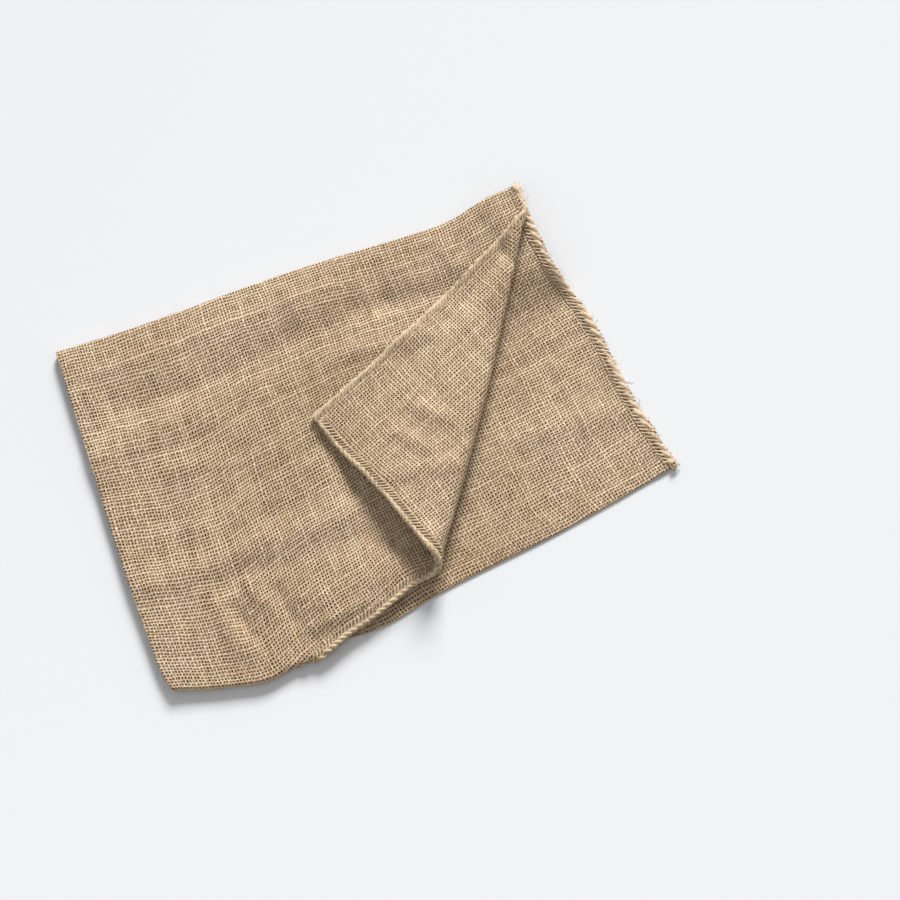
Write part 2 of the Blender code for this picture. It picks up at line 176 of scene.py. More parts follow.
# ---- weave and yarn ----
WARP_PITCH = 0.00218          # threads that run along the sack
WEFT_PITCH = 0.00240          # and those that run across it
SLOW_BENDS = 22.0             # bends per metre of whole bundles of threads,
QUICK_BENDS = 95.0            # of a few threads,
SPACINGS = 110.0              # and changes per metre in how close the threads lie
PATCHES = 9.0                 # paler and darker patches per metre
SEAM_STEP = 0.0011            # length of one piece of the seam's cord
SEAM_THIN = 0.68              # its size on the turned corner,
SEAM_FULL = 1.05              # and on the lower half
SEAM_GROWS = 0.05             # over this length
MOUTH_LEVEL = 0.00105         # each edge of the mouth from the middle plane
SPRIG_COUNT = 16              # yarn ends in the frayed corner
FIBRE_COUNT = 1500            # loose hairs


def through(rows, x):
    """Smooth curve through a table's rows: a cubic between rows, sloped as its neighbours."""
    xs, ys = np.array(rows, dtype=float).T
    slopes = np.gradient(ys, xs)
    i = np.clip(np.searchsorted(xs, x, side="right") - 1, 0, len(xs) - 2)
    span = xs[i + 1] - xs[i]
    t = (x - xs[i]) / span
    return (ys[i] * (1 + 2 * t) * (1 - t) ** 2 + slopes[i] * span * t * (1 - t) ** 2
            + ys[i + 1] * t * t * (3 - 2 * t) + slopes[i + 1] * span * t * t * (t - 1))


def plan(corners, right_bow, end_bow, s, t):
    """Place on the ground for s across and t along, both 0 to 1.

    The corners are blended by (1 - s)(1 - t), s (1 - t), (1 - s) t and s t, and each side's
    bow is added in proportion to how near that side is.
    """
    fold_left, fold_right, end_left, end_right = (
        np.array(corners[name]) for name in ("fold_left", "fold_right", "end_left", "end_right"))
    a, b = s[..., None], t[..., None]
    place = ((1 - a) * (1 - b) * fold_left + a * (1 - b) * fold_right
             + (1 - a) * b * end_left + a * b * end_right)
    x = place[..., 0] - (1 - s) * through(LEFT_BOW, t) + s * through(right_bow, t)
    y = place[..., 1] + (1 - t) * through(FOLD_LINE_BOW, s) - t * through(end_bow, s)
    return x, y


def soft_folds(table, x, y, from_fold):
    """Height of ridges: rise times exp(-(distance from the line / width) squared) for each line."""
    height = np.zeros_like(x)
    for x0, y0, x1, y1, width, rise in table:
        dx, dy = x1 - x0, y1 - y0
        along = np.clip(((x - x0) * dx + (y - y0) * dy) / (dx * dx + dy * dy), 0, 1)
        away = np.hypot(x - x0 - along * dx, y - y0 - along * dy)
        height += rise * np.maximum(np.exp(-(away / width) ** 2) - BELL_FOOT, 0)
    return height * np.clip(from_fold / FOLD_FADE, 0, 1)


def below_fold_line(x, y):
    """Distance on the ground from the fold line: the line's y, bow included, less the point's."""
    return np.maximum(FOLD_LINE_Y + through(FOLD_LINE_BOW, np.clip(x / WIDTH, 0, 1)) - y, 0)


def ripples(x, y):
    """Slight unevenness everywhere: the mean of long sine waves, each with its own heading."""
    headings = np.linspace(0.3, 5.9, RIPPLE_COUNT)
    total = np.zeros_like(x)
    for k, heading in enumerate(headings):
        pace = 2 * np.pi / (RIPPLE_SHORTEST + RIPPLE_LONGER * k)
        total += np.sin(pace * (x * np.cos(heading) + y * np.sin(heading)) + 1.7 * k * k)
    return total / len(headings)


def upper_height(x, y):
    """Middle plane of the upper half: its rest height, plus the fold's rise, ridges and ripples."""
    away = below_fold_line(x, y)
    rise = FOLD_RISE * np.exp(-(away / FOLD_REACH) ** 2)
    uneven = RIPPLE * (1 + ripples(x, y)) * np.clip(away / FOLD_REACH, 0, 1)
    fine = soft_folds(UPPER_CREASES, x, y, away) + uneven
    return UPPER_REST + rise + DEEPER * soft_folds(UPPER_FOLDS, x, y, away) + fine


def lower_height(s, x, y):
    """Middle plane of the lower half, flat but for its ridges and the edge along the seam."""
    ramp = np.clip((s - (WIDTH - SEAM_REACH)) / (SEAM_REACH - BAND), 0, 1)
    lift = SEAM_LIFT * ramp * ramp * (3 - 2 * ramp)
    away = below_fold_line(x, y)
    return (LOWER_REST + lift + soft_folds(LOWER_FOLDS, x, y, away)
            + soft_folds(LOWER_CREASES, x, y, away))


def tucked(across, t):
    """Winds the end of the upper half's length t round a small roll, to run back beneath."""
    fade = np.clip((across * WIDTH - TUCK_FULL) / (TUCK_NONE - TUCK_FULL), 0, 1)
    tuck = TUCK_LENGTH * (1 - fade * fade * (3 - 2 * fade))
    past = t * UPPER_LENGTH - (UPPER_LENGTH - tuck)
    turn = np.clip(past / TUCK_RADIUS, 0, np.pi)
    back = np.maximum(past - np.pi * TUCK_RADIUS, 0)
    reach = np.where(past > 0, TUCK_RADIUS * np.sin(turn) - back, past)
    return (UPPER_LENGTH - tuck + reach) / UPPER_LENGTH, TUCK_RADIUS * (1 - np.cos(turn))


def crease_frame(x, y):
    """Direction across the crease, place along it, distance past it and radius of the roll."""
    start, end = np.array(CREASE_START), np.array(CREASE_END)
    length = np.hypot(*(end - start))
    run = (end - start) / length
    side = np.array([-run[1], run[0]])
    along = (x - start[0]) * run[0] + (y - start[1]) * run[1]
    share = np.clip(along / length, 0, 1)
    radius = ROLL_START + (ROLL_END - ROLL_START) * share
    off = (x - start[0]) * side[0] + (y - start[1]) * side[1]
    return side, along, off + radius - CREASE_BOW * np.sin(np.pi * share), radius


def turned_corner(x, y):
    """Rolls the ground right of the crease over to the left.

    Distance from the crease first winds round a cylinder of the roll's radius. What is left
    then runs back to the left, and sinks from the roll's top to rest along the seam's edge.
    """
    side, along, off, radius = crease_frame(x, y)
    turn = np.clip(off / radius, 0, np.pi)
    rest = np.maximum(off - np.pi * radius, 0)
    span = np.maximum(FLAP_SPREAD * np.maximum(along, 0) - np.pi * radius, LEAST_SPAN)
    sink = 1 - np.clip(rest / span, 0, 1) ** 1.5
    reach = np.where(off > 0, radius * np.sin(turn) - rest, off)
    top = np.minimum(FLAP_REST, 2 * radius)
    rise = np.where(rest > 0, top + (2 * radius - top) * sink, radius * (1 - np.cos(turn)))
    shift = reach - off
    return x + shift * side[0], y + shift * side[1], rise


def corner_lift(x, y):
    """Springy rise of the corner where fold line and seam meet.

    A smooth ramp c c (3 - 2 c), c from 0 at a slanted crease to 1, times a bell across it.
    """
    foot = LIFT_FOOT + LIFT_LEAN * (x - LIFT_X)
    climb = np.clip((y - foot) / LIFT_RUN, 0, 1)
    return LIFT * climb * climb * (3 - 2 * climb) * np.exp(-((x - LIFT_X) / LIFT_WIDE) ** 2)


FOLD_ARC = np.pi * (UPPER_REST + FOLD_RISE - LOWER_REST) / 2


def middle(s, v):
    """Point of the pouch's middle plane: s across the sack, v along it, 0 at the fold line.

    The upper half is planned, rolled over and raised, the lower half is planned and raised, and
    between them y and z follow a half circle: radius (1 + cos a) up, radius sin a out.
    """
    s, v = np.broadcast_arrays(np.asarray(s, float), np.asarray(v, float))
    across = s / WIDTH
    zero = np.zeros_like(across)
    length, drop = tucked(across, np.clip(-v / UPPER_LENGTH, 0, None))
    x_up, y_up = plan(UPPER_CORNERS, UPPER_RIGHT_BOW, MOUTH_BOW, across, length)
    x_up, y_up, rise = turned_corner(x_up, y_up)
    z_up = upper_height(x_up, y_up) + rise - drop
    x_low, y_low = plan(LOWER_CORNERS, LOWER_RIGHT_BOW, BOTTOM_BOW, across,
                        np.clip((v - FOLD_ARC) / LOWER_LENGTH, 0, None))
    z_low = lower_height(s, x_low, y_low)
    x_arc, y_arc = plan(LOWER_CORNERS, LOWER_RIGHT_BOW, BOTTOM_BOW, across, zero)
    z_foot = lower_height(s, x_arc, y_arc)
    radius = (UPPER_REST + FOLD_RISE - z_foot) / 2
    angle = np.pi * np.clip(v / FOLD_ARC, 0, 1)
    y_arc = y_arc + radius * np.sin(angle)
    z_arc = z_foot + radius * (1 + np.cos(angle))
    upper, arc = v < 0, (v >= 0) & (v <= FOLD_ARC)
    place = np.stack([np.where(upper, x_up, np.where(arc, x_arc, x_low)),
                      np.where(upper, y_up, np.where(arc, y_arc, y_low)),
                      np.where(upper, z_up, np.where(arc, z_arc, z_low))], axis=-1)
    return place + corner_lift(place[..., 0], place[..., 1])[..., None] * np.array(LIFT_HEADING)


def laid(s, v, h):
    """Point of the folded sack: the middle plane's point plus h along its normal."""
    s, v, h = np.broadcast_arrays(np.asarray(s, float), np.asarray(v, float), np.asarray(h, float))
    across = middle(s + NORMAL_STEP, v) - middle(s - NORMAL_STEP, v)
    along = middle(s, v + NORMAL_STEP) - middle(s, v - NORMAL_STEP)
    normal = np.cross(across, along)
    normal /= np.linalg.norm(normal, axis=-1, keepdims=True)
    return middle(s, v) + normal * h[..., None] - np.array([CENTRE[0], CENTRE[1], 0])


def crease_at(v):
    """Where rows of the upper half start round the roll, found by halving, and its radius."""
    low, high = np.zeros_like(v), np.full_like(v, WIDTH)
    for _ in range(HALVINGS):
        s = (low + high) / 2
        x, y = plan(UPPER_CORNERS, UPPER_RIGHT_BOW, MOUTH_BOW, s / WIDTH,
                    np.clip(-v / UPPER_LENGTH, 0, None))
        _, _, off, radius = crease_frame(x, y)
        low, high = np.where(off < 0, s, low), np.where(off < 0, high, s)
    return low, radius


# ---------------------------------------------------------------- meshes

def new_piece(name, points, faces, maps, material):
    """Mesh object from arrays of points, quads and maps, riding on the root body.

    A map gives two values for each point. Points that no quad uses are left out.
    """
    used, faces = np.unique(faces, return_inverse=True)
    faces = faces.reshape(-1, 4)
    mesh = bpy.data.meshes.new(name)
    mesh.from_pydata(points[used].tolist(), [], faces.tolist())
    corner = np.empty(len(mesh.loops), dtype=np.int32)
    mesh.loops.foreach_get("vertex_index", corner)
    for layer, values in maps.items():
        mesh.uv_layers.new(name=layer).data.foreach_set(
            "uv", values[used][corner].astype(np.float32).ravel())
    mesh.polygons.foreach_set("use_smooth", np.ones(len(mesh.polygons), dtype=bool))
    mesh.materials.append(material)
    mesh.update()
    piece = bpy.data.objects.new(name, mesh)
    bpy.context.scene.collection.objects.link(piece)
    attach(piece, "root")
    return piece


def quads(ids):
    """Four corners of every cell of a grid of point numbers."""
    return np.stack([ids[:-1, :-1], ids[:-1, 1:], ids[1:, 1:], ids[1:, :-1]], -1).reshape(-1, 4)


def tube_run(paths, radii, sides):
    """Points, quads and map of round yarns, each ring = centre + r (cos a side + sin a up).

    The map holds the share of the way round and the length along. What would reach under the
    ground is pressed flat on it.
    """
    count, steps = paths.shape[:2]
    tangent = np.gradient(paths, axis=1)
    tangent /= np.linalg.norm(tangent, axis=-1, keepdims=True) + 1e-12
    lean = np.where(np.abs(tangent[..., 2:]) < 0.9, np.array([0.0, 0, 1]), np.array([1.0, 0, 0]))
    side = np.cross(tangent, lean)
    side /= np.linalg.norm(side, axis=-1, keepdims=True) + 1e-12
    up = np.cross(side, tangent)
    run = np.concatenate([np.zeros((count, 1)),
                          np.cumsum(np.linalg.norm(np.diff(paths, axis=1), axis=-1), axis=1)], 1)
    angle = 2 * np.pi * np.arange(sides) / sides
    ring = (np.cos(angle)[:, None] * side[:, :, None, :]
            + np.sin(angle)[:, None] * up[:, :, None, :]) * radii[:, :, None, None]
    points = (paths[:, :, None, :] + ring).reshape(-1, 3)
    points[:, 2] = np.maximum(points[:, 2], 0.0)
    ids = np.arange(count * steps * sides).reshape(count, steps, sides)
    ids = np.concatenate([ids, ids[:, :, :1]], 2)
    faces = np.stack([ids[:, :-1, :-1], ids[:, 1:, :-1], ids[:, 1:, 1:], ids[:, :-1, 1:]],
                     -1).reshape(-1, 4)
    around = np.broadcast_to(np.arange(sides) / sides, (count, steps, sides))
    yarn = np.stack([around + np.arange(count)[:, None, None] * 3.0,
                     np.broadcast_to(run[:, :, None], around.shape)], -1).reshape(-1, 2)
    return points, faces, yarn


def tubes(name, runs, material):
    """One piece from several runs of round yarn, each given as paths, radii and sides."""
    made = [tube_run(*run) for run in runs]
    first = np.cumsum([0] + [len(points) for points, _, _ in made[:-1]])
    return new_piece(name, np.concatenate([points for points, _, _ in made]),
                     np.concatenate([faces + k for k, (_, faces, _) in zip(first, made)]),
                     {"Yarn": np.concatenate([yarn for _, _, yarn in made])}, material)


def row_values():
    """v of every row of the drawn cloth: close in the tuck and where the seam turns over."""
    mouth = -UPPER_LENGTH + EDGE_INSET
    return np.concatenate([
        np.linspace(mouth, mouth + TUCK_END, TUCK_ROWS + 1),
        np.linspace(mouth + TUCK_END, SEAM_TURN_FIRST, UPPER_ROWS + 1)[1:],
        np.linspace(SEAM_TURN_FIRST, SEAM_TURN_LAST, SEAM_TURN_ROWS + 1)[1:],
        np.linspace(SEAM_TURN_LAST, 0, CORNER_ROWS + 1)[1:],
        np.linspace(0, FOLD_ARC, ARC_ROWS + 1)[1:],
        FOLD_ARC + np.linspace(0, LOWER_LENGTH, LOWER_ROWS + 1)[1:]])


def woven_cloth(material):
    """The pouch of two walls: one grid from the seam over the front, round the left fold and back.

    A row's walls lie WALL_LEVEL to either side of the middle plane. Round the left fold s is
    -WALL_LEVEL sin a and the level cos a. Round the bottom the walls close in the same way, and
    the last row's two halves are one.
    """
    v = row_values()
    last = WIDTH - EDGE_INSET
    crease, radius = crease_at(v)
    crease = np.minimum(crease, last - LEAST_FLAP)
    roll = np.minimum(ROLL_ARC * radius, ROLL_SHARE * (last - crease))
    body = np.linspace(0, 1, BODY_COLUMNS + 1)
    round_roll = np.linspace(0, 1, ROLL_COLUMNS + 1)[1:]
    flap = np.linspace(0, 1, FLAP_COLUMNS + 1)[1:]
    wall = np.concatenate([crease[:, None] * body, crease[:, None] + roll[:, None] * round_roll,
                           (crease + roll)[:, None] + (last - crease - roll)[:, None] * flap], 1)
    turn = np.linspace(0, np.pi, LEFT_COLUMNS + 2)[1:-1]
    edge_s = np.broadcast_to(-WALL_LEVEL * np.sin(turn), (len(v), len(turn)))
    s = np.concatenate([wall[:, ::-1], edge_s, wall], 1)
    one = np.ones(wall.shape[1])
    level = np.concatenate([one, np.cos(turn), -one])
    hem = np.linspace(0, np.pi / 2, HEM_ROWS + 1)[1:]
    v_all = np.concatenate([v, v[-1] + WALL_LEVEL * np.sin(hem)])
    squeeze = np.concatenate([np.ones_like(v), np.cos(hem)])
    s = np.concatenate([s, np.repeat(s[-1:], len(hem), 0)], 0)
    h = WALL_LEVEL * squeeze[:, None] * level[None, :]
    v_grid = np.broadcast_to(v_all[:, None], s.shape)
    points = laid(s, v_grid, h)
    ids = np.arange(s.size).reshape(s.shape)
    half = s.shape[1] // 2
    ids[-1, -half:] = ids[-1, :half][::-1]
    front = np.arange(s.shape[1]) < half
    flat_s = np.where(front, -s, s) + WIDTH
    maps = {"Flat": np.stack([flat_s, v_grid + UPPER_LENGTH], -1).reshape(-1, 2),
            "OFBake": np.stack([flat_s / (2 * WIDTH), (v_grid + UPPER_LENGTH) / (2 * WIDTH)],
                               -1).reshape(-1, 2)}
    piece = new_piece("woven_cloth", points.reshape(-1, 3), quads(ids), maps, material)
    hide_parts("sack_cloth")
    return piece


def rope(place, length, strands, strand, turn_radius, pitch, flat, step, seed):
    """Yarns twisted together: side = A cos(p + 2 pi k / n), depth = flat A sin(p + 2 pi k / n).

    place(t, side, depth) gives the point for a length t along the edge.
    """
    t = np.arange(0, length, step)
    phase = 2 * np.pi * t / pitch + 0.8 * np.sin(t / 0.031 + seed) + 0.4 * np.sin(t / 0.0127 + seed)
    shift = 2 * np.pi * np.arange(strands)[:, None] / strands
    loose = 1 + 0.22 * np.sin(t / 0.0163 + 2 * seed) + 0.15 * np.sin(t / 0.0061 + seed)
    side = turn_radius * loose * np.cos(phase + shift)
    depth = flat * turn_radius * loose * np.sin(phase + shift)
    grid = np.broadcast_to(t, side.shape)
    swell = 1 + 0.20 * np.sin(grid / 0.0071 + shift * 2 + seed) + 0.14 * np.sin(grid / 0.0023 + shift)
    return place(grid, side, depth), strand * swell


def wrap(place, length, strand, wide, deep, pitch, slant, step, seed):
    """One yarn wound round the edge in slanted loops: an ellipse that travels along.

    side = wide cos p and depth = deep sin p, while the length along is t + slant side.
    """
    t = np.arange(0, length, step)
    phase = 2 * np.pi * t / pitch + 0.9 * np.sin(t / 0.0213 + seed) + 0.5 * np.sin(t / 0.0079)
    reach = 1 + 0.12 * np.sin(t / 0.0047 + seed) + 0.10 * np.sin(t / 0.0153)
    side = (wide * reach * np.cos(phase))[None]
    depth = (deep * np.sin(phase))[None]
    swell = 1 + 0.22 * np.sin(t / 0.0057 + seed) + 0.15 * np.sin(t / 0.0019)
    return place(t[None] + slant * side, side, depth), (strand * swell)[None]


def seam_stitches(material):
    """Rope and loops of the side seam, from the mouth's corner round the fold to the bottom."""
    length = UPPER_LENGTH + FOLD_ARC + LOWER_LENGTH - 0.002

    def size(t):
        """Thinner on the turned corner, and growing over the last stretch before the fold line."""
        near_fold = np.clip((t - UPPER_LENGTH + SEAM_GROWS) / SEAM_GROWS, 0, 1)
        return SEAM_THIN + (SEAM_FULL - SEAM_THIN) * near_fold

    def edge(inset):
        def place(t, side, depth):
            v = np.clip(t, 0, length) - UPPER_LENGTH + 0.001
            return laid(WIDTH - inset + side * size(t), v, depth * size(t))
        return place

    cord, cord_size = rope(edge(0.0030), length, strands=2, strand=0.00185, turn_radius=0.00110,
                           pitch=0.0180, flat=0.60, step=SEAM_STEP, seed=1.0)
    loops, loop_size = wrap(edge(0.0044), length, strand=0.00066, wide=0.0040, deep=0.00150,
                            pitch=0.0034, slant=0.80, step=0.00036, seed=2.0)
    line, line_size = rope(edge(0.0080), length, strands=2, strand=0.00050, turn_radius=0.00050,
                           pitch=0.0060, flat=2.2, step=SEAM_STEP, seed=3.0)
    t = np.arange(cord.shape[1]) * SEAM_STEP
    piece = tubes("seam_stitches", [(cord, cord_size * size(t), 9), (loops, loop_size, 6),
                                    (line, line_size, 5)], material)
    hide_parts("side_seam")
    return piece


def mouth_stitches(material):
    """Rope and loops of the mouth, along the front wall, round the left fold and back."""
    run = WIDTH - BAND - 0.001
    half_turn = np.pi * MOUTH_LEVEL
    length = 2 * run + half_turn

    def edge(inset):
        def place(t, side, depth):
            t = np.clip(t, 0, length)
            turn = np.clip((t - run) / half_turn, 0, 1) * np.pi
            after = np.maximum(t - run - half_turn, 0)
            s = np.where(t < run, run - t, after) - MOUTH_LEVEL * np.sin(turn) + 0.001
            return laid(s, -UPPER_LENGTH + inset - side, (MOUTH_LEVEL + depth) * np.cos(turn))
        return place

    cord, cord_size = rope(edge(0.0024), length, strands=2, strand=0.00128, turn_radius=0.00085,
                           pitch=0.0100, flat=0.70, step=0.0010, seed=5.0)
    loops, loop_size = wrap(edge(0.0045), length, strand=0.00060, wide=0.0041, deep=0.00080,
                            pitch=0.0029, slant=0.80, step=0.00032, seed=6.0)
    line, line_size = rope(edge(0.0080), length, strands=2, strand=0.00042, turn_radius=0.00042,
                           pitch=0.0060, flat=1.6, step=0.0012, seed=7.0)
    piece = tubes("mouth_stitches", [(cord, cord_size, 8), (loops, loop_size, 5),
                                     (line, line_size, 4)], material)
    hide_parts("mouth_edge")
    return piece


def frayed_end(material):
    """Cut yarn ends that stick out of the seam where it stops at the bottom corner.

    Each goes on from a scattered root in equal steps whose heading turns evenly, and arches
    a little above the ground.
    """
    steps = 8
    root = laid(np.array([WIDTH - 0.003]), np.array([FOLD_ARC + LOWER_LENGTH - 0.002]), 0.0)[0]
    heading = -0.9 + CHANCE.normal(0, 0.55, SPRIG_COUNT)
    reach = CHANCE.uniform(0.003, 0.0065, SPRIG_COUNT)
    t = np.linspace(0, 1, steps)[None, :]
    bend = CHANCE.normal(0, 0.7, SPRIG_COUNT)[:, None]
    turn = heading[:, None] + bend * t
    go = np.stack([np.cos(turn), np.sin(turn), np.zeros_like(turn)], -1)
    go = go * reach[:, None, None] / steps
    scatter = np.concatenate([CHANCE.normal(0, 0.0011, (SPRIG_COUNT, 2)),
                              CHANCE.uniform(-0.0006, 0.0012, (SPRIG_COUNT, 1))], 1)
    paths = np.cumsum(go, 1) + root + scatter[:, None]
    paths[..., 2] = np.maximum(paths[..., 2] + 0.0016 * np.sin(np.pi * t), 0.0008)
    radii = CHANCE.uniform(0.0003, 0.0006, (SPRIG_COUNT, 1)) * (1 - 0.5 * t)
    tubes("frayed_end", [(paths, radii, 5)], material)


def loose_fibres(material):
    """Single jute fibres that stand off the edges and the cloth, each a short thin curve.

    A third start on the seam, a third on the mouth's edge and the rest anywhere. From its start
    a fibre runs drift t + curl t t + rise t, with rise along the cloth's normal.
    """
    count, steps = FIBRE_COUNT, 5
    where = CHANCE.integers(0, 3, count)
    s = np.where(where == 0, WIDTH - CHANCE.uniform(0.0, 0.006, count),
                 CHANCE.uniform(0.01, 0.36, count))
    v = np.where(where == 1, -UPPER_LENGTH + CHANCE.uniform(0.0, 0.006, count),
                 CHANCE.uniform(-UPPER_LENGTH, FOLD_ARC + LOWER_LENGTH, count))
    level = np.where(CHANCE.random(count) < 0.5, 1.0, -1.0)
    start = laid(s, v, 0.0012 * level)
    out = laid(s, v, 0.0022 * level) - start
    out /= np.linalg.norm(out, axis=-1, keepdims=True)
    drift = CHANCE.normal(0, 1, (count, 3))
    drift -= out * (drift * out).sum(-1, keepdims=True)
    drift /= np.linalg.norm(drift, axis=-1, keepdims=True)
    t = np.linspace(0, 1, steps)[None, :, None]
    reach = CHANCE.uniform(0.002, 0.007, count)[:, None, None]
    rise = CHANCE.uniform(0.05, 0.30, count)[:, None, None]
    curl = np.cross(out, drift)[:, None] * CHANCE.normal(0, 0.45, (count, 1, 1))
    paths = start[:, None] + reach * (drift[:, None] * t + curl * t * t + out[:, None] * rise * t)
    paths[..., 2] = np.maximum(paths[..., 2], 0.0003)
    radii = np.full((count, steps), 0.00011) * (1 - 0.4 * t[..., 0])
    tubes("loose_fibres", [(paths, radii, 3)], material)


# ---------------------------------------------------------------- materials

MIX_LOW, MIX_HIGH = 6, 7      # the two colour sockets of a Mix node


class Wire:
    """A socket of a material's node tree, so that its maths can be written as an expression."""

    def __init__(self, shade, socket):
        self.shade, self.socket = shade, socket

    def maths(self, operation, *others):
        return self.shade.node("ShaderNodeMath", {"operation": operation}, self, *others)

    def __add__(self, other):
        return self.maths("ADD", other)

    def __sub__(self, other):
        return self.maths("SUBTRACT", other)

    def __mul__(self, other):
        return self.maths("MULTIPLY", other)

    def __truediv__(self, other):
        return self.maths("DIVIDE", other)

    def __rsub__(self, other):
        return self.shade.node("ShaderNodeMath", {"operation": "SUBTRACT"}, other, self)

    def __rtruediv__(self, other):
        return self.shade.node("ShaderNodeMath", {"operation": "DIVIDE"}, other, self)

    def __gt__(self, other):
        return self.maths("GREATER_THAN", other)

    def __lt__(self, other):
        return self.maths("LESS_THAN", other)

    __radd__ = __add__
    __rmul__ = __mul__


class Shade:
    """A new material and one method that adds any node to it."""

    def __init__(self, name):
        self.material = bpy.data.materials.new(name)
        self.material.use_nodes = True
        self.tree = self.material.node_tree
        self.surface = self.tree.nodes["Principled BSDF"]
        self.surface.inputs["Specular IOR Level"].default_value = 0.25

    def put(self, socket, value):
        """Links a socket to a wire, or sets its own value."""
        if isinstance(value, Wire):
            self.tree.links.new(value.socket, socket)
        else:
            socket.default_value = value

    def node(self, kind, settings, *values, out=0, **named):
        """Adds a node: its settings first, then its sockets in order or by name."""
        made = self.tree.nodes.new(kind)
        for key, value in settings.items():
            setattr(made, key, value)
        for socket, value in zip(made.inputs, values):
            self.put(socket, value)
        for key, value in named.items():
            self.put(made.inputs[key.replace("_", " ")], value)
        return Wire(self, made.outputs[out])

    def map(self, name):
        """The two values of one of the piece's own maps."""
        return self.split(self.node("ShaderNodeUVMap", {"uv_map": name}))

    def split(self, place):
        """The first two values of a vector."""
        first = self.node("ShaderNodeSeparateXYZ", {}, place)
        return first, Wire(self, first.socket.node.outputs[1])

    def noise(self, x, y, z=0.0, detail=1.0):
        """Soft noise, about -0.5 to 0.5, at a place given by three values."""
        place = self.node("ShaderNodeCombineXYZ", {}, x, y, z)
        return self.node("ShaderNodeTexNoise", {}, Vector=place, Scale=1.0, Detail=detail) - 0.5

    def hash(self, value):
        """A value from 0 to 1 that is the same all over one thread."""
        return self.node("ShaderNodeTexWhiteNoise", {"noise_dimensions": "1D"}, W=value)

    def blend(self, share, low, high, way="MIX"):
        """Colour from low to high as share goes from 0 to 1, or another way of mixing them."""
        mixed = self.node("ShaderNodeMix", {"data_type": "RGBA", "blend_type": way}, out=2)
        sockets = mixed.socket.node.inputs
        self.put(sockets["Factor"], share)
        for socket, value in ((sockets[MIX_LOW], low), (sockets[MIX_HIGH], high)):
            self.put(socket, value if isinstance(value, Wire) else (*value, 1))
        return mixed

    def finish(self, colour, height, depth, alpha=None):
        """Connects the surface. Raised parts are rougher, and depth is the bump's distance."""
        normal = self.node("ShaderNodeBump", {}, Strength=1.0, Distance=depth, Height=height)
        self.put(self.surface.inputs["Base Color"], colour)
        self.put(self.surface.inputs["Roughness"], 0.78 + 0.20 * height)
        self.put(self.surface.inputs["Normal"], normal)
        if alpha is not None:
            self.put(self.surface.inputs["Alpha"], alpha)
        return self.material


def thread(shade, cell, place, other, seed):
    """One set of threads: cover, cover that takes in a rim painted dark as shade, rounding and tone
    at a place.

    cell numbers the thread, place runs -0.5 to 0.5 across it and other along it. Its half width
    and its middle wander along it, and its rounding is the root of 1 - away away, where away is
    the distance from its middle over the half width.
    """
    lane = cell * 7.31 + seed
    slub = shade.noise(lane, other * 0.17, seed, 2.0)
    wide = 0.275 + 0.09 * (shade.hash(cell + seed) - 0.5) + 0.30 * slub
    shift = 0.34 * shade.noise(lane, other * 0.30, seed + 4.0)
    away = (place - shift).maths("ABSOLUTE") / wide.maths("MAXIMUM", 0.10)
    round_ = (1.0 - away * away).maths("MAXIMUM", 0.0).maths("SQRT")
    fibre = shade.noise(place * 9.0 + lane, other * 1.1, seed + 9.0, 2.0)
    tone = 0.50 + 0.34 * (shade.hash(cell * 1.7 + seed + 3.0) - 0.5) + 0.9 * slub + 0.9 * fibre
    return away < 1.0, away < 1.38, round_ + 0.35 * fibre, tone


def hessian():
    """Open plain weave of uneven threads, see-through between them, with painted shade at their
    edges.

    u and w count threads across and along the sack. Slow and quick noise bends whole bundles,
    and the last noise in each sets threads closer or wider. The threads go over and under in
    turn: where the cells' sum is even the warp is the higher, by the cosine of the way along.
    """
    shade = Shade("hessian")
    s, v = shade.map("Flat")
    slow = shade.noise(s * SLOW_BENDS, v * SLOW_BENDS, 1.0, 1.5)
    slow_two = shade.noise(s * SLOW_BENDS, v * SLOW_BENDS, 7.0, 1.5)
    quick = shade.noise(s * QUICK_BENDS, v * QUICK_BENDS, 3.0)
    quick_two = shade.noise(s * QUICK_BENDS, v * QUICK_BENDS, 5.0)
    closer = shade.noise(s * SPACINGS, 0.0, 21.0)
    closer_two = shade.noise(v * SPACINGS, 0.0, 23.0)
    u = s / WARP_PITCH + 2.6 * slow + 0.7 * quick + 0.9 * closer
    w = v / WEFT_PITCH + 2.6 * slow_two + 0.7 * quick_two + 0.9 * closer_two
    warp_cell, weft_cell = u.maths("FLOOR"), w.maths("FLOOR")
    across, along = u - warp_cell - 0.5, w - weft_cell - 0.5
    over = 1.0 - 2.0 * (warp_cell + weft_cell).maths("PINGPONG", 1.0)
    warp, warp_and_painted_rim, warp_round, warp_tone = thread(shade, warp_cell, across, w, 11.0)
    weft, weft_and_painted_rim, weft_round, weft_tone = thread(shade, weft_cell, along, u, 53.0)
    warp_height = warp * (1.2 + 0.55 * warp_round
                          + 0.45 * over * (along * np.pi).maths("COSINE"))
    weft_height = weft * (1.2 + 0.55 * weft_round
                          - 0.45 * over * (across * np.pi).maths("COSINE"))
    warp_on_top = warp_height > weft_height
    height = warp_height.maths("MAXIMUM", weft_height)
    tone = warp_on_top * (warp_tone - weft_tone) + weft_tone
    shape = warp_on_top * (warp_round - weft_round) + weft_round
    patch = shade.noise(s * PATCHES, v * PATCHES, 2.0, 2.0)
    tone = (tone + 0.6 * patch).maths("MAXIMUM", 0.0).maths("MINIMUM", 1.0)
    colour = shade.blend(tone, (0.375, 0.242, 0.127), (0.735, 0.588, 0.418))
    cover = warp.maths("MAXIMUM", weft)
    # Painted shade: each thread darkens toward its edges, and the rim round every hole is painted
    # dark brown as the threads' shaded sides.
    shape = (0.35 + 0.75 * shape).maths("MINIMUM", 1.0) * cover
    sides = shade.blend(shape, (0.24, 0.140, 0.060), (1.0, 1.0, 1.0))
    colour_with_painted_shade = shade.blend(1.0, colour, sides, "MULTIPLY")
    return shade.finish(colour_with_painted_shade, height, 0.0006, warp_and_painted_rim.maths("MAXIMUM", weft_and_painted_rim))


